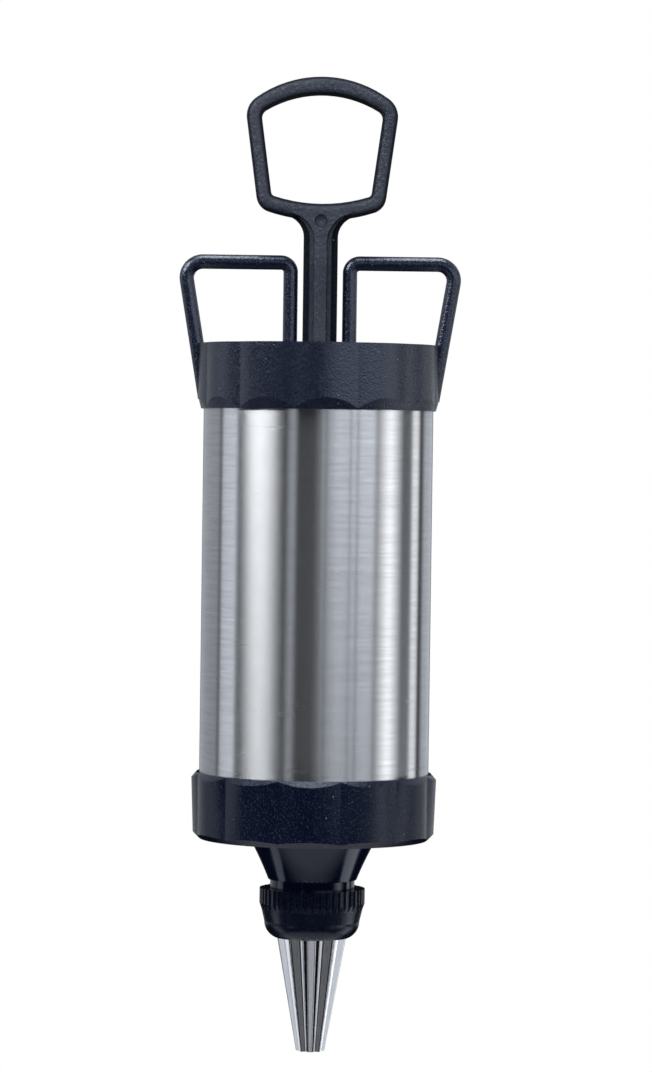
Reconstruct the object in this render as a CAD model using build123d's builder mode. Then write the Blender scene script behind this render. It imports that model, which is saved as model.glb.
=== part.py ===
from build123d import *

import os
from math import cos, radians, sin, sqrt

os.makedirs("parts", exist_ok=True)

# Frame: the tip's outlet is at the origin, +Z runs up the axis and the front faces -Y. Millimetres.

# Clearances
soft_fit = 0.08
running_fit = 0.3
screw_fit = 0.05
key_fit = 0.25
thread_fit = 0.15
thread_root = 0.2
cut_over = 0.3

# Barrel
barrel_od = 57.0
barrel_wall = 1.0
barrel_length = 113.7

# Thread shared by both ends of the barrel
barrel_pitch = 4.0
barrel_groove_depth = 0.5
barrel_ridge_crest = 0.8
barrel_ridge_flank = 0.4
thread_lead_in = 0.5
barrel_ridge_run_out = 0.9
barrel_groove_run_out = 0.6

# Lobed collars
lobe_count = 12
skirt_fit = 0.15
lower_collar_wall = 0.7
lower_collar_lobe = 1.15
lower_collar_height = 16.4
lower_collar_lip = 2.0
lower_collar_draft = 0.6
lower_collar_top_chamfer = 1.3
lower_collar_top_slope = 1.2
lower_collar_bottom_chamfer = 1.5
lower_collar_clocking = -2.0
top_cap_wall = 0.55
top_cap_lobe = 0.7
top_cap_height = 16.2
top_cap_plate = 2.6
top_cap_bevel = 1.2
top_cap_foot_chamfer = 0.75
top_cap_foot_rise = 2.8
top_cap_clocking = 4.0
rod_guide_length = 3.0
rod_guide_wall = 2.2

# Gaskets
gasket_thickness = 1.2
gasket_width = 2.2

# Finger loops
loop_bar_width = 3.6
loop_bar_depth = 4.4
loop_height = 22.0
loop_rod_gap = 1.05
loop_splay = 5.65
loop_foot_inset = 1.7
loop_foot_drop = 13.6
loop_inner_corner = 2.4
loop_outer_corner = 4.0

# Funnel
neck_radius = 10.5
neck_length = 11.0
neck_wall = 3.2
neck_shoulder = 0.5
cone_top_radius = 15.8
cone_height = 10.1
cone_hollow = 0.2
flange_thickness = 2.0
mouth_inset = 1.7
mouth_drop = 1.2
throat_drop = 2.2

# Thread between the neck and the coupling nut
neck_pitch = 2.5
neck_groove_depth = 0.6
neck_ridge_crest = 0.6
neck_ridge_flank = 0.3
neck_groove_run_out = 0.2

# Coupling nut
nut_height = 12.25
nut_wall = 2.3
nut_rib_height = 0.55
nut_taper = 0.7
nut_foot_round = 4.4
nut_foot_flat = 0.4
nut_lip = 2.65
nut_rib_count = 48
nut_rib_length = 5.3
nut_rib_run_out = 1.6
nut_rib_groove = 0.5

# Piping tip
tip_reach = 28.35
tip_flutes = 8
tip_sheet = 0.4
tip_outlet_ridge = 3.53
tip_top_ridge = 9.05
tip_valley_ratio = 0.78
tip_rim_inset = 0.55
tip_rim_thickness = 0.8
tip_ridge_share = 0.16
tip_valley_share = 0.07
tip_fold_radius = 0.5

# Piston
piston_gap = 0.5
piston_front_thickness = 3.0
piston_back_thickness = 2.6
piston_plate_margin = 0.5
seal_thickness = 3.2
seal_width = 7.4
seal_lip = 1.2
piston_bolt_radius = 1.5
piston_bolt_grip = 12.0
bolt_head_radius = 2.9
bolt_head_height = 2.2
bolt_head_round = 0.73
bolt_socket_radius = 1.45
bolt_socket_depth = 1.1
washer_radius = 4.5
washer_thickness = 0.8

# Plunger rod and thumb ring
rod_rib_half_width = 1.65
rod_rib_half_depth = 3.5
rod_core_half_width = 2.8
rod_core_half_depth = 2.6
rod_web_half_width = 4.25
rod_web_half_depth = 1.65
rod_foot_radius = 10.0
rod_foot_thickness = 2.5
rod_flare = 5.4
rod_flare_gain = 0.6
rod_flare_reach = 0.85
rod_flare_rise = 0.21
rod_sink = 2.4
rod_edge_round = 0.3
ring_rise = 30.8
ring_height = 35.4
ring_depth = 7.0
ring_edge_round = 1.7
ring_shoulder_half_width = 19.1
ring_shoulder_drop = 7.5
ring_foot_half_width = 15.75
ring_foot_rise = 3.0
ring_top_bar = 4.4
ring_side_bar = 4.0
ring_bottom_bar = 4.0
ring_inner_shoulder_drop = 1.54
ring_inner_heel_inset = 3.4
ring_inner_heel_rise = 3.0
ring_top_corner = 5.5
ring_bottom_corner = 4.3
ring_inner_top_corner = 2.2
ring_inner_bottom_corner = 1.2
dimple_diameter = 3.2
dimple_depth = 0.7
dimple_drop = 0.3

# Heights that follow from the stack, from the outlet upwards
nut_top_z = tip_reach + nut_height
tip_seat_z = tip_reach + nut_lip
neck_end_z = tip_seat_z + tip_rim_thickness
cone_foot_z = neck_end_z + neck_length
collar_foot_z = cone_foot_z + cone_height
flange_foot_z = collar_foot_z + lower_collar_lip
flange_top_z = flange_foot_z + flange_thickness
barrel_foot_z = flange_top_z + gasket_thickness
barrel_top_z = barrel_foot_z + barrel_length
plate_foot_z = barrel_top_z + gasket_thickness
cap_top_z = plate_foot_z + top_cap_plate
cap_foot_z = cap_top_z - top_cap_height
collar_top_z = collar_foot_z + lower_collar_height
piston_foot_z = barrel_foot_z + piston_gap
seal_foot_z = piston_foot_z + piston_front_thickness
seal_top_z = seal_foot_z + seal_thickness
piston_top_z = seal_top_z + piston_back_thickness
rod_foot_top_z = piston_top_z + rod_foot_thickness
ring_foot_z = cap_top_z + ring_rise
ring_top_z = ring_foot_z + ring_height

# Radii that follow from the barrel
barrel_radius = barrel_od / 2
bore_radius = barrel_radius - barrel_wall
skirt_radius = barrel_radius + skirt_fit
collar_crease = skirt_radius + lower_collar_wall
collar_peak = collar_crease + lower_collar_lobe
cap_crease = skirt_radius + top_cap_wall
cap_peak = cap_crease + top_cap_lobe
barrel_ridge_radius = barrel_radius - barrel_groove_depth + thread_fit
gasket_outer = skirt_radius - running_fit
gasket_inner = gasket_outer - gasket_width
seal_radius = bore_radius - soft_fit
hub_radius = seal_radius - seal_width
neck_bore = neck_radius - neck_wall
cone_foot_radius = neck_radius + neck_shoulder
nut_bore = neck_radius + running_fit
nut_top_radius = nut_bore + nut_wall
nut_waist_radius = nut_top_radius - nut_rib_height
nut_foot_radius = nut_waist_radius - nut_taper
tip_rim_radius = neck_radius - tip_rim_inset
loop_inner_leg = rod_web_half_width + key_fit + loop_rod_gap + loop_bar_width / 2
loop_outer_foot = cap_peak - loop_foot_inset
loop_outer_shoulder = loop_outer_foot + loop_splay
neck_ridge_radius = neck_radius - neck_groove_depth + thread_fit


def polar(radius, degrees):
    return (radius * cos(radians(degrees)), radius * sin(radians(degrees)))


def helical_band(inner, outer, inner_width, outer_width, pitch, start_z, first_turn, last_turn):
    """Four-sided band that climbs as a right-hand thread; turns are counted from start_z."""
    middle = (inner + outer) / 2
    with BuildPart() as band:
        with BuildLine() as climb:
            Helix(pitch, pitch * (last_turn - first_turn), middle)
        with BuildSketch(Plane(climb.line @ 0, x_dir=(1, 0, 0), z_dir=climb.line % 0)):
            with BuildLine():
                Polyline(
                    (inner - middle, -inner_width / 2),
                    (outer - middle, -outer_width / 2),
                    (outer - middle, outer_width / 2),
                    (inner - middle, inner_width / 2),
                    close=True,
                )
            make_face()
        sweep(path=climb.line, is_frenet=True)
    lift = start_z + pitch * first_turn
    return band.part.moved(Location((0, 0, lift), (0, 0, 360 * first_turn)))


def thread_ridge(crest_radius, wall_radius, crest_width, flank, pitch, start_z, first_turn, last_turn):
    """Ridge that stands inwards from a wall, rooted a little way into it."""
    root = wall_radius + thread_root
    root_width = crest_width + 2 * flank * (root - crest_radius) / (wall_radius - crest_radius)
    return helical_band(crest_radius, root, crest_width, root_width, pitch, start_z, first_turn, last_turn)


def thread_groove(ridge_radius, wall_radius, surface_radius, crest_width, flank, pitch, start_z,
                  first_turn, last_turn):
    """Groove that leaves the thread clearance round such a ridge."""
    root = ridge_radius - thread_fit
    mouth = surface_radius + cut_over
    slope = 2 * flank / (wall_radius - ridge_radius)
    root_width = crest_width + 2 * thread_fit
    mouth_width = root_width + slope * (mouth - root) + 2 * thread_fit
    return helical_band(root, mouth, root_width, mouth_width, pitch, start_z, first_turn, last_turn)


def lobed_outline(height, crease, peak, clocking):
    """Ring of convex lobes with sharp creases; a lobe faces the front when clocking is nil."""
    step = 360 / lobe_count
    first = -90 - step / 2 + clocking
    with BuildSketch(Plane.XY.offset(height)) as outline:
        with BuildLine():
            for lobe in range(lobe_count):
                start = first + lobe * step
                ThreePointArc(
                    polar(crease, start),
                    polar(peak, start + step / 2),
                    polar(crease, start + step),
                )
        make_face()
    return outline.sketch


def flute_outline(height, ridge, inset):
    """Fluted ring with round ridges and soft folds, drawn in by an inset; a ridge faces the front."""
    step = 360 / tip_flutes
    outer = ridge - inset
    inner = ridge * tip_valley_ratio - inset
    with BuildSketch(Plane.XY.offset(height)) as outline:
        with BuildLine():
            for flute in range(tip_flutes):
                middle = -90 + flute * step
                ridge_end = polar(outer, middle + step * tip_ridge_share)
                ThreePointArc(polar(outer, middle - step * tip_ridge_share), polar(outer, middle), ridge_end)
                Polyline(
                    ridge_end,
                    polar(inner, middle + step * (0.5 - tip_valley_share)),
                    polar(inner, middle + step * (0.5 + tip_valley_share)),
                    polar(outer, middle + step * (1 - tip_ridge_share)),
                )
        make_face()
        fillet(outline.vertices(), tip_fold_radius * ridge / tip_top_ridge)
    return outline.sketch


def rod_section(height, margin):
    """Stepped cross of the plunger rod, grown by a margin."""
    with BuildSketch(Plane.XY.offset(height)) as section:
        Rectangle(2 * (rod_rib_half_width + margin), 2 * (rod_rib_half_depth + margin))
        Rectangle(2 * (rod_core_half_width + margin), 2 * (rod_core_half_depth + margin))
        Rectangle(2 * (rod_web_half_width + margin), 2 * (rod_web_half_depth + margin))
    return section.sketch


def rod_layer(half_width, half_depth):
    """One layer of the rod, from the piston up to the ring's foot, into which it flares."""
    flare = rod_flare + rod_flare_gain * (rod_web_half_width - half_width)
    reach = half_width + rod_flare_reach * flare
    shoulder_z = ring_foot_z + rod_flare_rise * flare
    inside_z = ring_foot_z + rod_sink
    with BuildPart() as layer:
        with BuildSketch(Plane.XZ) as outline:
            with BuildLine():
                Polyline(
                    (-half_width, piston_top_z),
                    (half_width, piston_top_z),
                    (half_width, ring_foot_z),
                    (reach, shoulder_z),
                    (reach, inside_z),
                    (-reach, inside_z),
                    (-reach, shoulder_z),
                    (-half_width, ring_foot_z),
                    close=True,
                )
            make_face()
            armpits = outline.vertices().filter_by(lambda corner: abs(corner.Y - ring_foot_z) < 0.01)
            fillet(armpits, flare)
        extrude(amount=half_depth, both=True)
        fillet(layer.faces().filter_by(Axis.Y).edges(), rod_edge_round)
    return layer.part


# Threads, in turns from the barrel's lower rim, its upper rim and the neck's end
lower_overlap = (collar_top_z - barrel_foot_z) / barrel_pitch
upper_overlap = (barrel_top_z - cap_foot_z) / barrel_pitch
neck_overlap = (nut_top_z - neck_end_z) / neck_pitch
barrel_thread = (barrel_ridge_radius, skirt_radius, barrel_ridge_crest, barrel_ridge_flank)
lower_ridge = thread_ridge(
    *barrel_thread, barrel_pitch, barrel_foot_z, thread_lead_in, lower_overlap - barrel_ridge_run_out)
upper_ridge = thread_ridge(
    *barrel_thread, barrel_pitch, barrel_top_z, barrel_ridge_run_out - upper_overlap, -thread_lead_in)
neck_ridge = thread_ridge(
    neck_ridge_radius, nut_bore, neck_ridge_crest, neck_ridge_flank,
    neck_pitch, neck_end_z, thread_lead_in, neck_overlap - thread_lead_in,
)
lower_groove = thread_groove(
    barrel_ridge_radius, skirt_radius, barrel_radius, barrel_ridge_crest, barrel_ridge_flank,
    barrel_pitch, barrel_foot_z, -thread_lead_in, lower_overlap - barrel_groove_run_out,
)
upper_groove = thread_groove(
    barrel_ridge_radius, skirt_radius, barrel_radius, barrel_ridge_crest, barrel_ridge_flank,
    barrel_pitch, barrel_top_z, barrel_groove_run_out - upper_overlap, thread_lead_in,
)
neck_groove = thread_groove(
    neck_ridge_radius, nut_bore, neck_radius, neck_ridge_crest, neck_ridge_flank,
    neck_pitch, neck_end_z, -thread_lead_in, neck_overlap - neck_groove_run_out,
)

# Barrel
with BuildPart() as barrel:
    with BuildSketch(Plane.XY.offset(barrel_foot_z)):
        Circle(barrel_radius)
        Circle(bore_radius, mode=Mode.SUBTRACT)
    extrude(amount=barrel_length)
    add(lower_groove, mode=Mode.SUBTRACT)
    add(upper_groove, mode=Mode.SUBTRACT)
barrel.part.label = "barrel"

# Gaskets, each in the mouth of a collar
with BuildPart() as upper_gasket:
    with BuildSketch(Plane.XY.offset(barrel_top_z)):
        Circle(gasket_outer)
        Circle(gasket_inner, mode=Mode.SUBTRACT)
    extrude(amount=gasket_thickness)
upper_gasket.part.label = "upper_gasket"

with BuildPart() as lower_gasket:
    with BuildSketch(Plane.XY.offset(flange_top_z)):
        Circle(gasket_outer)
        Circle(gasket_inner, mode=Mode.SUBTRACT)
    extrude(amount=gasket_thickness)
lower_gasket.part.label = "lower_gasket"

# Top cap: lobed shell, finger loops, then the hollow, the guide and the thread
cap_foot_lobes = lobed_outline(cap_foot_z, cap_crease, cap_peak, top_cap_clocking)
with BuildPart() as top_cap:
    extrude(cap_foot_lobes, amount=top_cap_height)
    with BuildSketch(Plane.XZ):
        with BuildLine():
            bevel_start = (cap_peak, cap_top_z - top_cap_bevel)
            bevel_end = (cap_peak - top_cap_bevel, cap_top_z)
            Polyline(
                bevel_end,
                (0, cap_top_z),
                (0, cap_foot_z),
                (cap_peak - top_cap_foot_chamfer, cap_foot_z),
                (cap_peak + top_cap_foot_chamfer, cap_foot_z + 2 * top_cap_foot_rise),
                (cap_peak + top_cap_foot_chamfer, cap_top_z - top_cap_bevel),
                bevel_start,
            )
            RadiusArc(bevel_start, bevel_end, -top_cap_bevel)
        make_face()
    revolve(axis=Axis.Z, mode=Mode.INTERSECT)
    for side in (-1, 1):
        with BuildLine(Plane.XZ) as loop_path:
            FilletPolyline(
                (side * loop_inner_leg, cap_top_z - top_cap_bevel),
                (side * loop_inner_leg, cap_top_z + loop_height - loop_bar_width / 2),
                (side * loop_outer_shoulder, cap_top_z + loop_height - loop_bar_width / 2),
                (side * loop_outer_foot, cap_top_z - loop_foot_drop),
                radius=[loop_inner_corner, loop_outer_corner],
            )
        with BuildSketch(Plane(loop_path.line @ 0, x_dir=(1, 0, 0), z_dir=loop_path.line % 0)):
            Ellipse(loop_bar_width / 2, loop_bar_depth / 2)
        sweep(path=loop_path.line)
    with BuildSketch(Plane.XY.offset(cap_foot_z)):
        Circle(skirt_radius)
    extrude(amount=plate_foot_z - cap_foot_z, mode=Mode.SUBTRACT)
    with BuildSketch(Plane.XY.offset(plate_foot_z)):
        Circle(rod_web_half_width + key_fit + rod_guide_wall)
    extrude(amount=-rod_guide_length)
    extrude(rod_section(plate_foot_z - rod_guide_length, key_fit), amount=rod_guide_length + top_cap_plate,
            mode=Mode.SUBTRACT)
    add(upper_ridge)
top_cap.part.label = "top_cap"

# Lower collar: union ring with a lip under the funnel's flange
collar_foot_lobes = lobed_outline(
    collar_foot_z, collar_crease, collar_peak - lower_collar_draft, lower_collar_clocking)
collar_top_lobes = lobed_outline(collar_top_z, collar_crease, collar_peak, lower_collar_clocking)
with BuildPart() as lower_collar:
    loft(sections=[collar_foot_lobes, collar_top_lobes], ruled=True)
    with BuildSketch(Plane.XZ):
        with BuildLine():
            foot_radius = collar_peak - lower_collar_draft
            top_bevel_drop = 2 * lower_collar_top_chamfer * lower_collar_top_slope
            Polyline(
                (0, collar_foot_z),
                (foot_radius - lower_collar_bottom_chamfer, collar_foot_z),
                (foot_radius + lower_collar_bottom_chamfer, collar_foot_z + 2 * lower_collar_bottom_chamfer),
                (collar_peak + lower_collar_top_chamfer, collar_top_z - top_bevel_drop),
                (collar_peak - lower_collar_top_chamfer, collar_top_z),
                (0, collar_top_z),
                close=True,
            )
        make_face()
    revolve(axis=Axis.Z, mode=Mode.INTERSECT)
    with BuildSketch(Plane.XY.offset(flange_foot_z)):
        Circle(skirt_radius)
    extrude(amount=collar_top_z - flange_foot_z, mode=Mode.SUBTRACT)
    with BuildSketch(Plane.XY.offset(collar_foot_z)):
        Circle(cone_top_radius + running_fit)
    extrude(amount=lower_collar_lip, mode=Mode.SUBTRACT)
    add(lower_ridge)
lower_collar.part.label = "lower_collar"

# Funnel: flange, hollow cone and threaded neck
cone_middle_radius = (cone_foot_radius + cone_top_radius) / 2 - cone_hollow
mouth_radius = cone_top_radius - mouth_inset
with BuildPart() as funnel:
    with BuildSketch(Plane.XZ):
        with BuildLine():
            Line((neck_bore, neck_end_z), (neck_radius, neck_end_z))
            Line((neck_radius, neck_end_z), (neck_radius, cone_foot_z))
            Line((neck_radius, cone_foot_z), (cone_foot_radius, cone_foot_z))
            ThreePointArc(
                (cone_foot_radius, cone_foot_z),
                (cone_middle_radius, cone_foot_z + cone_height / 2),
                (cone_top_radius, collar_foot_z),
            )
            Polyline(
                (cone_top_radius, collar_foot_z),
                (cone_top_radius, flange_foot_z),
                (barrel_ridge_radius - thread_fit, flange_foot_z),
                (barrel_ridge_radius - thread_fit, flange_top_z),
                (gasket_inner, flange_top_z),
                (mouth_radius, flange_top_z - mouth_drop),
                (neck_bore, cone_foot_z - throat_drop),
                (neck_bore, neck_end_z),
            )
        make_face()
    revolve(axis=Axis.Z)
    add(neck_groove, mode=Mode.SUBTRACT)
funnel.part.label = "funnel"

# Coupling nut: rounded foot, ribbed grip, sloping lip under the tip's rim
rib_foot_z = nut_top_z - nut_rib_length
tip_slope = (tip_top_ridge - tip_outlet_ridge) / tip_seat_z
lip_seat_bore = tip_top_ridge + running_fit
lip_foot_bore = tip_outlet_ridge + tip_slope * tip_reach + running_fit
foot_edge = lip_foot_bore + nut_foot_flat
foot_centre = nut_foot_radius - nut_foot_round
foot_round_rise = sqrt(nut_foot_round**2 - (foot_edge - foot_centre) ** 2)
with BuildPart() as coupling_nut:
    with BuildSketch(Plane.XZ):
        with BuildLine():
            round_top = (nut_foot_radius, tip_reach + foot_round_rise)
            round_foot = (foot_edge, tip_reach)
            Polyline(
                round_foot,
                (lip_foot_bore, tip_reach),
                (lip_seat_bore, tip_seat_z),
                (nut_bore, tip_seat_z),
                (nut_bore, nut_top_z),
                (nut_top_radius, nut_top_z),
                (nut_top_radius, rib_foot_z + nut_rib_run_out),
                (nut_waist_radius, rib_foot_z),
                round_top,
            )
            RadiusArc(round_top, round_foot, nut_foot_round)
        make_face()
    revolve(axis=Axis.Z)
    with BuildSketch(Plane.XY.offset(rib_foot_z)):
        with PolarLocations(nut_top_radius, nut_rib_count):
            Circle(nut_rib_groove)
    extrude(amount=nut_rib_length, mode=Mode.SUBTRACT)
    add(neck_ridge)
coupling_nut.part.label = "coupling_nut"

# Piping tip: fluted sheet with a flat rim
tip_levels = ((0, tip_outlet_ridge), (tip_seat_z, tip_top_ridge))
tip_outer = [flute_outline(z, ridge, 0) for z, ridge in tip_levels]
tip_inner = [flute_outline(z, ridge, tip_sheet) for z, ridge in tip_levels]
with BuildPart() as piping_tip:
    loft(sections=tip_outer, ruled=True)
    with BuildSketch(Plane.XY.offset(tip_seat_z)):
        Circle(tip_rim_radius)
    extrude(amount=tip_rim_thickness)
    loft(sections=tip_inner, ruled=True, mode=Mode.SUBTRACT)
    extrude(tip_inner[-1], amount=tip_rim_thickness, mode=Mode.SUBTRACT)
piping_tip.part.label = "piping_tip"

# Piston plates, the front one with a hub and a sunk seat for the screw
plate_radius = bore_radius - piston_plate_margin
bolt_seat_z = piston_foot_z + bolt_head_height + washer_thickness
with BuildPart() as piston_front_plate:
    with BuildSketch(Plane.XY.offset(piston_foot_z)):
        Circle(plate_radius)
    extrude(amount=piston_front_thickness)
    with BuildSketch(Plane.XY.offset(seal_foot_z)):
        Circle(hub_radius)
    extrude(amount=seal_thickness)
    with BuildSketch(Plane.XY.offset(piston_foot_z)):
        Circle(washer_radius + running_fit)
    extrude(amount=bolt_seat_z - piston_foot_z, mode=Mode.SUBTRACT)
    with BuildSketch(Plane.XY.offset(piston_foot_z)):
        Circle(piston_bolt_radius + screw_fit)
    extrude(amount=seal_top_z - piston_foot_z, mode=Mode.SUBTRACT)
piston_front_plate.part.label = "piston_front_plate"

with BuildPart() as piston_back_plate:
    with BuildSketch(Plane.XY.offset(seal_top_z)):
        Circle(plate_radius)
        Circle(piston_bolt_radius + screw_fit, mode=Mode.SUBTRACT)
    extrude(amount=piston_back_thickness)
piston_back_plate.part.label = "piston_back_plate"

# Seal: flat ring round the hub with a lip that wipes the bore
with BuildPart() as piston_seal:
    with BuildSketch(Plane.XZ):
        with BuildLine():
            Polyline(
                (hub_radius + screw_fit, seal_foot_z),
                (seal_radius, seal_foot_z),
                (seal_radius, seal_foot_z + seal_lip),
                (plate_radius, seal_foot_z + seal_thickness / 2),
                (seal_radius, seal_top_z - seal_lip),
                (seal_radius, seal_top_z),
                (hub_radius + screw_fit, seal_top_z),
                close=True,
            )
        make_face()
    revolve(axis=Axis.Z)
piston_seal.part.label = "piston_seal"

# Screw and washer
bolt_head_foot_z = bolt_seat_z - washer_thickness - bolt_head_height
bolt_end_z = piston_top_z + piston_bolt_grip
with BuildPart() as piston_screw:
    with BuildSketch(Plane.XY.offset(bolt_head_foot_z)):
        Circle(bolt_head_radius)
    extrude(amount=bolt_head_height)
    fillet(piston_screw.edges().group_by(Axis.Z)[0], bolt_head_round)
    with BuildSketch(Plane.XY.offset(bolt_head_foot_z)):
        RegularPolygon(bolt_socket_radius, 6)
    extrude(amount=bolt_socket_depth, mode=Mode.SUBTRACT)
    with BuildSketch(Plane.XY.offset(bolt_head_foot_z + bolt_head_height)):
        Circle(piston_bolt_radius)
    extrude(amount=bolt_end_z - bolt_head_foot_z - bolt_head_height)
piston_screw.part.label = "piston_screw"

with BuildPart() as piston_washer:
    with BuildSketch(Plane.XY.offset(bolt_seat_z - washer_thickness)):
        Circle(washer_radius)
        Circle(piston_bolt_radius + screw_fit, mode=Mode.SUBTRACT)
    extrude(amount=washer_thickness)
piston_washer.part.label = "piston_washer"

# Plunger rod: thumb ring, then three nested layers that flare from the rod into the ring's foot
ring_shoulder_z = ring_top_z - ring_shoulder_drop
ring_heel_z = ring_foot_z + ring_foot_rise
inner_shoulder = (ring_shoulder_half_width - ring_side_bar, ring_shoulder_z - ring_inner_shoulder_drop)
inner_heel = (ring_foot_half_width - ring_inner_heel_inset, ring_heel_z + ring_inner_heel_rise)
rod_layers = (
    rod_layer(rod_rib_half_width, rod_rib_half_depth),
    rod_layer(rod_core_half_width, rod_core_half_depth),
    rod_layer(rod_web_half_width, rod_web_half_depth),
)
with BuildPart() as plunger_rod:
    with BuildSketch(Plane.XZ) as ring_outline:
        with BuildLine():
            ThreePointArc(
                (-ring_shoulder_half_width, ring_shoulder_z),
                (0, ring_top_z),
                (ring_shoulder_half_width, ring_shoulder_z),
            )
            Line((ring_shoulder_half_width, ring_shoulder_z), (ring_foot_half_width, ring_heel_z))
            ThreePointArc(
                (ring_foot_half_width, ring_heel_z), (0, ring_foot_z), (-ring_foot_half_width, ring_heel_z))
            Line((-ring_foot_half_width, ring_heel_z), (-ring_shoulder_half_width, ring_shoulder_z))
        make_face()
        corners = ring_outline.vertices().sort_by(Axis.Y)
        fillet(corners[2:], ring_top_corner)
        corners = ring_outline.vertices().sort_by(Axis.Y)
        fillet(corners[:2], ring_bottom_corner)
    extrude(amount=ring_depth / 2, both=True)
    with BuildSketch(Plane.XZ) as ring_opening:
        with BuildLine():
            ThreePointArc(
                (-inner_shoulder[0], inner_shoulder[1]), (0, ring_top_z - ring_top_bar), inner_shoulder)
            Line(inner_shoulder, inner_heel)
            ThreePointArc(
                inner_heel, (0, ring_foot_z + ring_bottom_bar), (-inner_heel[0], inner_heel[1]))
            Line((-inner_heel[0], inner_heel[1]), (-inner_shoulder[0], inner_shoulder[1]))
        make_face()
        corners = ring_opening.vertices().sort_by(Axis.Y)
        fillet(corners[2:], ring_inner_top_corner)
        corners = ring_opening.vertices().sort_by(Axis.Y)
        fillet(corners[:2], ring_inner_bottom_corner)
    extrude(amount=ring_depth / 2, both=True, mode=Mode.SUBTRACT)
    fillet(plunger_rod.faces().filter_by(Axis.Y).edges(), ring_edge_round)
    for layer in rod_layers:
        add(layer)
    dimple_round = (dimple_diameter**2 / 4 + dimple_depth**2) / (2 * dimple_depth)
    with Locations((0, dimple_depth - rod_rib_half_depth - dimple_round, ring_foot_z - dimple_drop)):
        Sphere(dimple_round, mode=Mode.SUBTRACT)
    with BuildSketch(Plane.XY.offset(piston_top_z)):
        Circle(rod_foot_radius)
    extrude(amount=rod_foot_thickness)
    with BuildSketch(Plane.XY.offset(piston_top_z)):
        Circle(piston_bolt_radius + screw_fit)
    extrude(amount=piston_bolt_grip + running_fit, mode=Mode.SUBTRACT)
plunger_rod.part.label = "plunger_rod"

pieces = (
    barrel, upper_gasket, lower_gasket, top_cap, lower_collar, funnel, coupling_nut, piping_tip,
    piston_front_plate, piston_back_plate, piston_seal, piston_screw, piston_washer, plunger_rod,
)
for piece in pieces:
    export_step(piece.part, "parts/" + piece.part.label + ".step")
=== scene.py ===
from math import cos, radians, sin

import bpy
from mathutils import Matrix, Vector

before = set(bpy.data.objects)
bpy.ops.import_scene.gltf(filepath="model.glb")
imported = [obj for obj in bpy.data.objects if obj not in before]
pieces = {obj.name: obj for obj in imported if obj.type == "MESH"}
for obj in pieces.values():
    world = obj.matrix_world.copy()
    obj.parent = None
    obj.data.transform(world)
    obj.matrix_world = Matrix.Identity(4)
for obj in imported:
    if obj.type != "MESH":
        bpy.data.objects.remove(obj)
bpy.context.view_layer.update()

# Camera, as the photograph has it: pixels of a 652 by 1072 frame
frame_width_px = 652
frame_height_px = 1072
focal_px = 4180
axis_px = (318, 451)
lean_deg = 0.765
camera_distance = 1.038
camera_height = 0.1492
sensor_mm = 36

# The part of a noise's values over which a tone or a roughness changes
cloud_range = (0.35, 0.65)
even_range = (0.3, 0.7)
wide_range = (0.2, 0.8)
crest_range = (0.56, 0.7)

# Plastic: gleam, clouds, grain crests painted paler as glints, and the handle's painted sheen on
# standing faces and painted shade on its flanks
plastic_gleam = (0.78, 0.855, 1)
plastic_cloud_scale = 90
black_glint_crest = (0.041, 0.05, 0.078)
# Painted sheen on the handle's grain crests and standing faces, painted shade on its recessed flanks
# and the sides of its bars
pale_sheen_crest = (0.08, 0.092, 0.118)
sheen_facing = (0.7, 1)
flank_shade_colour = (0.0012, 0.0022, 0.007)
flank_roughness = 1

# Dust: cells in metres, a speck's radius and solid core as shares of a cell
dust_colour = (0.3, 0.31, 0.33)
dust_cell = 0.0016
dust_radius = 0.09
dust_core = 0.045
dust_choice_edge = 0.01

# Steel
brush_rotation = 0.25
hairline_scale = 70
hairline_shade = 0.84
drawn_mark_scale = (2600, 2600, 60)
drawn_mark_shade = 0.86
drawn_mark_depth = 0.000008
tip_cloud_scale = 160

# Rubber
rubber_cloud_scale = 220
rubber_grain_scale = 1800
rubber_grain_depth = 0.00002
rubber_unevenness = 0.06

# Floor
floor_tone = 0.9
floor_roughness = 0.9
floor_shine = 0.1
floor_drop = 0.8
floor_radius = 0.9
floor_fade_start = 0.6
floor_fade_end = 0.98 * floor_radius

# Studio: sizes in metres, then the light of its walls and the colours of its lights
line_studio = 0.97
near_studio = 1
far_studio = 2.6
studio_foot = -2.8
studio_top = 3.2
wall_gap = 0.1
pole_radius = 0.001
round_sides = 96
panel_columns = 24
wall_glow = 0.008
ceiling_glow = 0.2
overhead_glow = 8
overhead_radius = 1.1
world_fill = 0.55
white_light = (0.985, 1, 1.015)
cool_light = (0.935, 0.98, 1.065)
dim_light = (0.8, 0.95, 1.25)
lamp_target = (0, 0, 0.15)

# Heights of the panels: foot, where the light is full, and top
side_heights = (-0.6, -0.3, studio_top)
front_heights = (0.14, 0.22, 0.6)
low_heights = (-1.2, -1.1, -0.6)
low_side_heights = (studio_foot, -2.6, -0.75)

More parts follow.
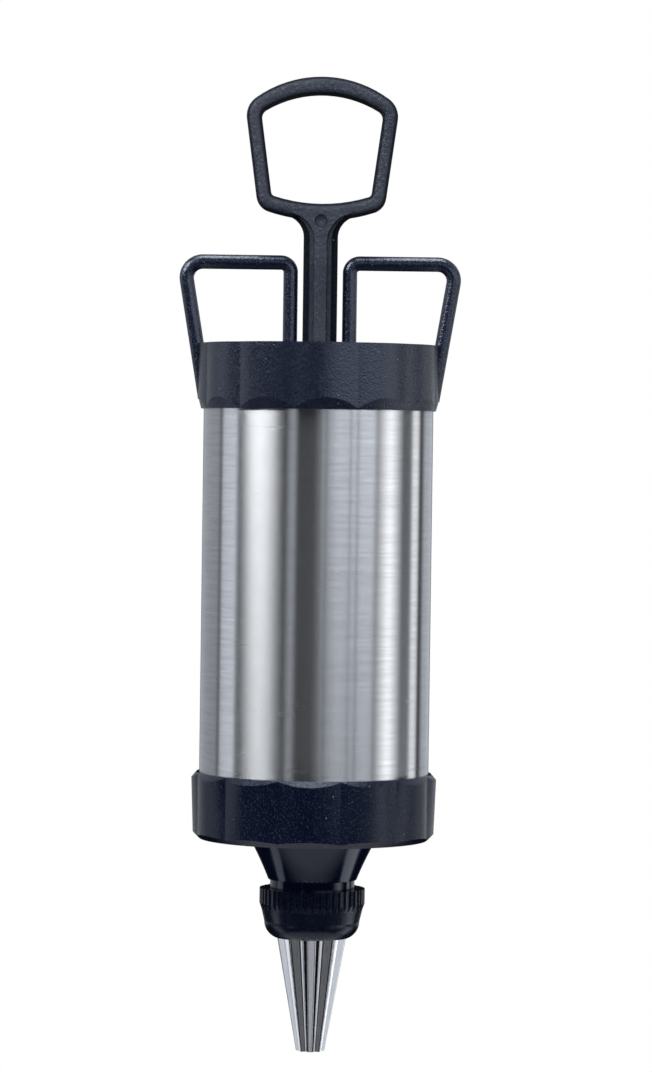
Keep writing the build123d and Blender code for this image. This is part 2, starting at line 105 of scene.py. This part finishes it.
# Studio panels: name, radius, degrees round the part from the camera's side, brightness, colour,
# soft shares of the width at the left and the right, and heights
studio_panels = [
    ("left_back_panel", far_studio, (-172, -112), 0.45, cool_light, (0.1, 0.1), side_heights),
    ("left_side_panel", far_studio, (-113, -86), 0.95, cool_light, (0.15, 0.15), side_heights),
    ("left_softbox", near_studio, (-92, -37), 21, white_light, (0.3, 0.45), (0.56, 0.66, 1.05)),
    ("left_front_strip", far_studio, (-32, -20), 0.85, cool_light, (0.4, 0.4), (-0.2, 0.2, studio_top)),
    ("front_line", line_studio, (2, 9), 1.35, cool_light, (0.45, 0.45), front_heights),
    ("right_line", line_studio, (32, 41), 2.5, cool_light, (0.3, 0.3), front_heights),
    ("right_panel", near_studio, (-3, 62), 2.35, cool_light, (0.36, 0.06), front_heights),
    ("right_softbox", far_studio, (59, 95), 1.8, white_light, (0.48, 0.42), (-1.2, -0.8, studio_top)),
    ("right_side_strip", far_studio, (107, 125), 1.4, white_light, (0.3, 0.3), side_heights),
    ("right_side_panel", far_studio, (128, 172), 0.6, cool_light, (0.2, 0.2), side_heights),
    ("low_front_panel", far_studio, (-17, 17), 0.45, cool_light, (0.2, 0.2), (-1.46, -1.42, -1.18)),
    ("low_left_panel", far_studio, (-66, -42), 0.7, cool_light, (0.15, 0.15), low_heights),
    ("low_left_front_panel", far_studio, (-41, -31), 0.18, cool_light, (0.5, 0.5), low_heights),
    ("low_right_front_panel", far_studio, (31, 41), 0.18, cool_light, (0.5, 0.5), low_heights),
    ("low_right_panel", far_studio, (42, 66), 0.76, cool_light, (0.15, 0.15), low_heights),
    ("low_left_side_panel", far_studio, (-112, -86), 1, cool_light, (0.2, 0.2), low_side_heights),
    ("low_right_side_panel", far_studio, (86, 125), 1.5, cool_light, (0.2, 0.2), low_side_heights),
]


def make_node(tree, kind, values=None, **settings):
    """A shader node with its settings and its unlinked inputs."""
    made = tree.nodes.new(kind)
    for name, value in settings.items():
        setattr(made, name, value)
    for socket, value in (values or {}).items():
        made.inputs[socket].default_value = value
    return made


def new_material(name):
    material = bpy.data.materials.new(name)
    material.use_nodes = True
    tree = material.node_tree
    return material, tree, tree.nodes["Principled BSDF"]


def place_of(tree, stretch=(1, 1, 1)):
    """The point on the piece, in metres, stretched along each axis."""
    where = make_node(tree, "ShaderNodeTexCoord")
    mapping = make_node(tree, "ShaderNodeMapping", {"Scale": stretch})
    tree.links.new(where.outputs["Object"], mapping.inputs["Vector"])
    return mapping.outputs["Vector"]


def noise(tree, place, scale, detail, roughness=0.6):
    made = make_node(
        tree, "ShaderNodeTexNoise", {"Scale": scale, "Detail": detail, "Roughness": roughness})
    tree.links.new(place, made.inputs["Vector"])
    return made.outputs["Fac"]


def span(tree, value, low, high, out_low, out_high):
    """The value's stretch from low to high, laid over another stretch."""
    made = make_node(
        tree, "ShaderNodeMapRange",
        {"From Min": low, "From Max": high, "To Min": out_low, "To Max": out_high})
    tree.links.new(value, made.inputs["Value"])
    return made.outputs["Result"]


def times(tree, first, second):
    made = make_node(tree, "ShaderNodeMath", operation="MULTIPLY")
    tree.links.new(first, made.inputs[0])
    tree.links.new(second, made.inputs[1])
    return made.outputs["Value"]


def mix_colour(tree, share, first, second):
    """Colour between two; each is a socket or a plain colour."""
    made = make_node(tree, "ShaderNodeMix", data_type="RGBA")
    tree.links.new(share, made.inputs["Factor"])
    for socket, colour in (("A", first), ("B", second)):
        target = [s for s in made.inputs if s.name == socket and s.type == "RGBA"][0]
        if isinstance(colour, tuple):
            target.default_value = (*colour, 1)
        else:
            tree.links.new(colour, target)
    return [s for s in made.outputs if s.type == "RGBA"][0]


def mix_number(tree, share, first, second):
    """Number between a plain one and a socket's."""
    made = make_node(tree, "ShaderNodeMix", {"A": first})
    tree.links.new(share, made.inputs["Factor"])
    tree.links.new(second, made.inputs["B"])
    return made.outputs["Result"]


def bump(tree, heights, depth):
    made = make_node(tree, "ShaderNodeBump", {"Distance": depth})
    tree.links.new(heights, made.inputs["Height"])
    return made.outputs["Normal"]


def dust(tree, place, share):
    """Fine specks, one in some of the cells."""
    cells = make_node(tree, "ShaderNodeTexVoronoi", {"Scale": 1 / dust_cell})
    tree.links.new(place, cells.inputs["Vector"])
    speck = span(tree, cells.outputs["Distance"], dust_radius, dust_core, 0, 1)
    separate = make_node(tree, "ShaderNodeSeparateColor")
    tree.links.new(cells.outputs["Color"], separate.inputs["Color"])
    chosen = span(tree, separate.outputs["Red"], 1 - share, 1 - share + dust_choice_edge, 0, 1)
    return times(tree, speck, chosen)


def front_and_back(tree, vector, low, high):
    """How far a vector reaches to the front or the back: 0 up to low, 1 from high on."""
    split = make_node(tree, "ShaderNodeSeparateXYZ")
    tree.links.new(vector, split.inputs["Vector"])
    reach = make_node(tree, "ShaderNodeMath", operation="ABSOLUTE")
    tree.links.new(split.outputs["Y"], reach.inputs[0])
    return span(tree, reach.outputs["Value"], low, high, 0, 1)


def sheen_faces_mask(tree, place, depths):
    """1 on the faces that stand out and lie square to the front and the back, where sheen is painted, 0
    on the flanks, where shade is painted.
    """
    normal = make_node(tree, "ShaderNodeTexCoord").outputs["Normal"]
    return times(
        tree, front_and_back(tree, place, *depths), front_and_back(tree, normal, *sheen_facing))


def moulded_plastic(
        name, dark, light, smooth, rough, shine, grain, grain_depth, glint_crest, glint_crest_share, dust_share,
        sheen_depths=None):
    """Black plastic with cloudy tone, a pebbled moulded grain whose paler crests are painted glints,
    and a little dust.

    With two depths given, the faces that stand out that far to the front or the back keep
    this tone as a painted sheen, and the flanks between them get painted shade, darker and duller."""
    material, tree, shader = new_material(name)
    shader.inputs["Specular IOR Level"].default_value = shine
    shader.inputs["Specular Tint"].default_value = (*plastic_gleam, 1)
    place = place_of(tree)
    clouds = noise(tree, place, plastic_cloud_scale, detail=4)
    tone = mix_colour(tree, span(tree, clouds, *cloud_range, 0, 1), dark, light)
    pebbles = noise(tree, place, 1 / grain, detail=2)
    # Paler crests of the grain: painted glints
    tone = mix_colour(tree, span(tree, pebbles, *crest_range, 0, glint_crest_share), tone, glint_crest)
    roughness = span(tree, pebbles, *even_range, smooth, rough)
    # Painted sheen on the standing faces, painted shade on the flanks
    if sheen_depths:
        sheen_share = sheen_faces_mask(tree, place, sheen_depths)
        tone = mix_colour(tree, sheen_share, flank_shade_colour, tone)
        roughness = mix_number(tree, sheen_share, flank_roughness, roughness)
    specks = dust(tree, place, dust_share)
    tree.links.new(mix_colour(tree, specks, tone, dust_colour), shader.inputs["Base Color"])
    tree.links.new(roughness, shader.inputs["Roughness"])
    tree.links.new(bump(tree, pebbles, grain_depth), shader.inputs["Normal"])
    return material


def brushed_steel(name, colour, smooth, rough, line, line_depth, anisotropy):
    """Steel brushed round the axis, with fine hairlines that run across it."""
    material, tree, shader = new_material(name)
    shader.inputs["Metallic"].default_value = 1
    shader.inputs["Anisotropic"].default_value = anisotropy
    shader.inputs["Anisotropic Rotation"].default_value = brush_rotation
    across = make_node(tree, "ShaderNodeTangent", direction_type="RADIAL", axis="Z")
    tree.links.new(across.outputs["Tangent"], shader.inputs["Tangent"])
    stretch = (hairline_scale, hairline_scale, 1 / line)
    hairlines = noise(tree, place_of(tree, stretch), 1, detail=4, roughness=0.7)
    darker = tuple(hairline_shade * c for c in colour)
    shade = mix_colour(tree, span(tree, hairlines, *even_range, 0, 1), darker, colour)
    tree.links.new(shade, shader.inputs["Base Color"])
    tree.links.new(span(tree, hairlines, *wide_range, rough, smooth), shader.inputs["Roughness"])
    tree.links.new(bump(tree, hairlines, line_depth), shader.inputs["Normal"])
    return material


def polished_steel(name, colour, smooth, rough):
    """Drawn and polished sheet, with faint marks along it."""
    material, tree, shader = new_material(name)
    shader.inputs["Metallic"].default_value = 1
    drawn = noise(tree, place_of(tree, drawn_mark_scale), 1, detail=2)
    clouds = noise(tree, place_of(tree), tip_cloud_scale, detail=3)
    darker = tuple(drawn_mark_shade * c for c in colour)
    shade = mix_colour(tree, span(tree, drawn, *even_range, 0, 1), darker, colour)
    tree.links.new(shade, shader.inputs["Base Color"])
    tree.links.new(span(tree, clouds, *even_range, smooth, rough), shader.inputs["Roughness"])
    tree.links.new(bump(tree, drawn, drawn_mark_depth), shader.inputs["Normal"])
    return material


def soft_rubber(name, dark, light, rough):
    """Moulded rubber with a cloudy tone and a very fine grain."""
    material, tree, shader = new_material(name)
    place = place_of(tree)
    clouds = noise(tree, place, rubber_cloud_scale, detail=3)
    tone = mix_colour(tree, span(tree, clouds, *cloud_range, 0, 1), dark, light)
    tree.links.new(tone, shader.inputs["Base Color"])
    roughness = span(tree, clouds, *even_range, rough - rubber_unevenness, rough + rubber_unevenness)
    tree.links.new(roughness, shader.inputs["Roughness"])
    grain = noise(tree, place, rubber_grain_scale, detail=2)
    tree.links.new(bump(tree, grain, rubber_grain_depth), shader.inputs["Normal"])
    return material


def dress(node, material):
    pieces[node].data.materials.clear()
    pieces[node].data.materials.append(material)


# Finishes
matte = moulded_plastic(
    "matte_black_plastic", dark=(0.0014, 0.0034, 0.0155), light=(0.0026, 0.0048, 0.018),
    smooth=0.24, rough=0.34, shine=0.76, grain=0.0005, grain_depth=0.00011,
    glint_crest=black_glint_crest, glint_crest_share=0.3, dust_share=0.12)
# The handle's tones are paler than the other black plastics, a painted sheen; its flanks get painted
# shade instead
handle = moulded_plastic(
    "handle_black_plastic", dark=(0.019, 0.024, 0.037), light=(0.036, 0.042, 0.058),
    smooth=0.32, rough=0.5, shine=0.42, grain=0.0008, grain_depth=0.00034,
    glint_crest=pale_sheen_crest, glint_crest_share=0.45, dust_share=0.12, sheen_depths=(0.0019, 0.003))
grained = moulded_plastic(
    "grained_black_plastic", dark=(0.0006, 0.0026, 0.0135), light=(0.0013, 0.0038, 0.0165),
    smooth=0.15, rough=0.26, shine=0.42, grain=0.00042, grain_depth=0.00011,
    glint_crest=black_glint_crest, glint_crest_share=0.42, dust_share=0.14)
smooth_black = moulded_plastic(
    "smooth_black_plastic", dark=(0.0008, 0.0022, 0.0115), light=(0.0014, 0.003, 0.014),
    smooth=0.22, rough=0.3, shine=0.4, grain=0.0008, grain_depth=0.00003,
    glint_crest=black_glint_crest, glint_crest_share=0.05, dust_share=0.08)
glossy = moulded_plastic(
    "glossy_black_plastic", dark=(0.0007, 0.003, 0.016), light=(0.0011, 0.004, 0.019),
    smooth=0.1, rough=0.15, shine=0.5, grain=0.002, grain_depth=0.000006,
    glint_crest=black_glint_crest, glint_crest_share=0, dust_share=0.05)
satin = moulded_plastic(
    "satin_black_plastic", dark=(0.02, 0.02, 0.023), light=(0.027, 0.027, 0.03),
    smooth=0.3, rough=0.38, shine=0.5, grain=0.0012, grain_depth=0.00002,
    glint_crest=black_glint_crest, glint_crest_share=0, dust_share=0.02)
barrel_steel = brushed_steel(
    "brushed_barrel_steel", colour=(0.66, 0.67, 0.685), smooth=0.25, rough=0.28,
    line=0.0008, line_depth=0.000001, anisotropy=1)
screw_steel = brushed_steel(
    "turned_screw_steel", colour=(0.6, 0.6, 0.61), smooth=0.28, rough=0.36,
    line=0.0002, line_depth=0.000006, anisotropy=0.3)
tip_steel = polished_steel("polished_tip_steel", colour=(0.8, 0.8, 0.81), smooth=0.05, rough=0.09)
silicone = soft_rubber(
    "pale_silicone", dark=(0.7, 0.7, 0.68), light=(0.78, 0.78, 0.76), rough=0.5)
gasket = soft_rubber(
    "black_gasket_rubber", dark=(0.02, 0.02, 0.021), light=(0.03, 0.03, 0.031), rough=0.62)

dress("top_cap", matte)
dress("plunger_rod", handle)
dress("lower_collar", grained)
dress("coupling_nut", smooth_black)
dress("funnel", glossy)
for node in ("piston_front_plate", "piston_back_plate"):
    dress(node, satin)
dress("barrel", barrel_steel)
for node in ("piston_screw", "piston_washer"):
    dress(node, screw_steel)
dress("piping_tip", tip_steel)
dress("piston_seal", silicone)
for node in ("upper_gasket", "lower_gasket"):
    dress(node, gasket)


def link_object(name, data):
    made = bpy.data.objects.new(name, data)
    bpy.context.scene.collection.objects.link(made)
    return made


def pale_floor():
    """Pale floor below the part, which fades into the white background."""
    rim = [radians(360 * side / round_sides) for side in range(round_sides)]
    mesh = bpy.data.meshes.new("floor")
    corners = [(floor_radius * cos(turn), floor_radius * sin(turn), 0) for turn in rim]
    mesh.from_pydata(corners, [], [tuple(range(round_sides))])
    material, tree, shader = new_material("pale_floor")
    shader.inputs["Base Color"].default_value = (floor_tone, floor_tone, floor_tone, 1)
    shader.inputs["Roughness"].default_value = floor_roughness
    shader.inputs["Specular IOR Level"].default_value = floor_shine
    length = make_node(tree, "ShaderNodeVectorMath", operation="LENGTH")
    tree.links.new(place_of(tree), length.inputs[0])
    fade = span(tree, length.outputs["Value"], floor_fade_start, floor_fade_end, 1, 0)
    tree.links.new(fade, shader.inputs["Alpha"])
    mesh.materials.append(material)
    floor = link_object("floor", mesh)
    floor.location.z = -floor_drop


def glow_material(name, colour, strength_of):
    """Light of its own; the strength is a number or comes from a function of the node tree."""
    material = bpy.data.materials.new(name)
    material.use_nodes = True
    tree = material.node_tree
    tree.nodes.clear()
    glow = make_node(tree, "ShaderNodeEmission", {"Color": (*colour, 1)})
    if callable(strength_of):
        tree.links.new(strength_of(tree), glow.inputs["Strength"])
    else:
        glow.inputs["Strength"].default_value = strength_of
    output = make_node(tree, "ShaderNodeOutputMaterial")
    tree.links.new(glow.outputs["Emission"], output.inputs["Surface"])
    return material


def studio_panel(name, radius, degrees, brightness, colour, soft_shares, heights):
    """Upright curved panel round the part, soft at its sides and towards its foot."""
    start_deg, end_deg = degrees
    soft_left, soft_right = soft_shares
    foot, full, top = heights
    corners = []
    for column in range(panel_columns + 1):
        turn = radians(start_deg + (end_deg - start_deg) * column / panel_columns)
        for height in (foot, top):
            corners.append((radius * sin(turn), -radius * cos(turn), height))
    faces = [(2 * c, 2 * c + 2, 2 * c + 3, 2 * c + 1) for c in range(panel_columns)]
    mesh = bpy.data.meshes.new(name)
    mesh.from_pydata(corners, [], faces)
    layer = mesh.uv_layers.new(name="panel")
    for loop in mesh.loops:
        layer.data[loop.index].uv = (loop.vertex_index // 2 / panel_columns, loop.vertex_index % 2)

    def strength_of(tree):
        where = make_node(tree, "ShaderNodeTexCoord")
        split = make_node(tree, "ShaderNodeSeparateXYZ")
        tree.links.new(where.outputs["UV"], split.inputs["Vector"])
        rise = span(tree, split.outputs["X"], 0, soft_left, 0, 1)
        fall = span(tree, split.outputs["X"], 1 - soft_right, 1, 1, 0)
        climb = span(tree, split.outputs["Y"], 0, (full - foot) / (top - foot), 0, 1)
        return span(tree, times(tree, times(tree, rise, fall), climb), 0, 1, 0, brightness)

    mesh.materials.append(glow_material(name, colour, strength_of))
    panel = link_object(name, mesh)
    panel.visible_camera = False
    panel.visible_diffuse = False


def studio_shell(name, rings, brightness, colour):
    """Surface round the part that only reflections see, from rings of a radius and a height."""
    corners = []
    for radius, height in rings:
        for side in range(round_sides):
            turn = radians(360 * side / round_sides)
            corners.append((radius * sin(turn), -radius * cos(turn), height))
    faces = []
    for ring in range(len(rings) - 1):
        low = ring * round_sides
        high = low + round_sides
        for side in range(round_sides):
            after = (side + 1) % round_sides
            faces.append((low + side, low + after, high + after, high + side))
    mesh = bpy.data.meshes.new(name)
    mesh.from_pydata(corners, [], faces)
    mesh.materials.append(glow_material(name, colour, brightness))
    shell = link_object(name, mesh)
    shell.visible_camera = False
    shell.visible_diffuse = False
    shell.visible_transmission = False
    shell.visible_shadow = False


def area_light(name, place, width, height, watts):
    """Rectangular lamp that points at the middle of the part and shows in no mirror."""
    lamp = bpy.data.lights.new(name, "AREA")
    lamp.shape = "RECTANGLE"
    lamp.size = width
    lamp.size_y = height
    lamp.energy = watts
    made = link_object(name, lamp)
    made.visible_glossy = False
    made.location = place
    made.rotation_euler = (Vector(lamp_target) - Vector(place)).to_track_quat("-Z", "Y").to_euler()


def white_world():
    """White to the eye, in mirrors and through glass; a soft grey fill otherwise."""
    world = bpy.data.worlds.new("studio")
    bpy.context.scene.world = world
    world.use_nodes = True
    tree = world.node_tree
    tree.nodes.clear()
    path = make_node(tree, "ShaderNodeLightPath")
    seen = make_node(tree, "ShaderNodeMath", operation="MAXIMUM")
    tree.links.new(path.outputs["Is Camera Ray"], seen.inputs[0])
    tree.links.new(path.outputs["Is Glossy Ray"], seen.inputs[1])
    clear = make_node(tree, "ShaderNodeMath", operation="MAXIMUM")
    tree.links.new(seen.outputs["Value"], clear.inputs[0])
    tree.links.new(path.outputs["Is Transmission Ray"], clear.inputs[1])
    glow = make_node(tree, "ShaderNodeBackground", {"Color": (1, 1, 1, 1)})
    tree.links.new(span(tree, clear.outputs["Value"], 0, 1, world_fill, 1), glow.inputs["Strength"])
    output = make_node(tree, "ShaderNodeOutputWorld")
    tree.links.new(glow.outputs["Background"], output.inputs["Surface"])


def photo_camera():
    """Level camera in front of the part, aimed so that the axis falls where the photograph has it."""
    lean = radians(lean_deg)
    right = Vector((cos(lean), 0, sin(lean)))
    up = Vector((-sin(lean), 0, cos(lean)))
    ahead = Vector((0, 1, 0))
    sideways_px = frame_width_px / 2 - axis_px[0]
    down_px = frame_height_px / 2 - axis_px[1]
    ahead = (focal_px * ahead + sideways_px * right - down_px * up).normalized()
    up = (up - up.dot(ahead) * ahead).normalized()
    right = ahead.cross(up)
    camera = bpy.data.cameras.new("camera")
    camera.sensor_width = sensor_mm
    camera.lens = sensor_mm * focal_px / frame_height_px
    made = link_object("camera", camera)
    turn = Matrix((right, up, -ahead)).transposed().to_4x4()
    made.matrix_world = Matrix.Translation((0, -camera_distance, camera_height)) @ turn
    bpy.context.scene.camera = made


pale_floor()
wall_radius = far_studio + wall_gap
wall_foot = studio_foot - wall_gap
wall_top = studio_top + wall_gap
wall_rings = [(pole_radius, wall_foot), (wall_radius, wall_foot), (wall_radius, wall_top)]
ceiling_rings = [(wall_radius, wall_top), (pole_radius, wall_top)]
overhead_rings = [(overhead_radius, studio_top), (pole_radius, studio_top)]
studio_shell("dark_wall", wall_rings, wall_glow, dim_light)
studio_shell("ceiling", ceiling_rings, ceiling_glow, dim_light)
studio_shell("overhead_softbox", overhead_rings, overhead_glow, white_light)
for panel in studio_panels:
    studio_panel(*panel)
area_light("overhead", place=(0, -0.35, 1.3), width=0.9, height=0.7, watts=8)
area_light("key", place=(-0.2, -0.95, 0.85), width=0.6, height=0.6, watts=8)
white_world()
photo_camera()

bpy.context.scene.view_settings.view_transform = "Standard"
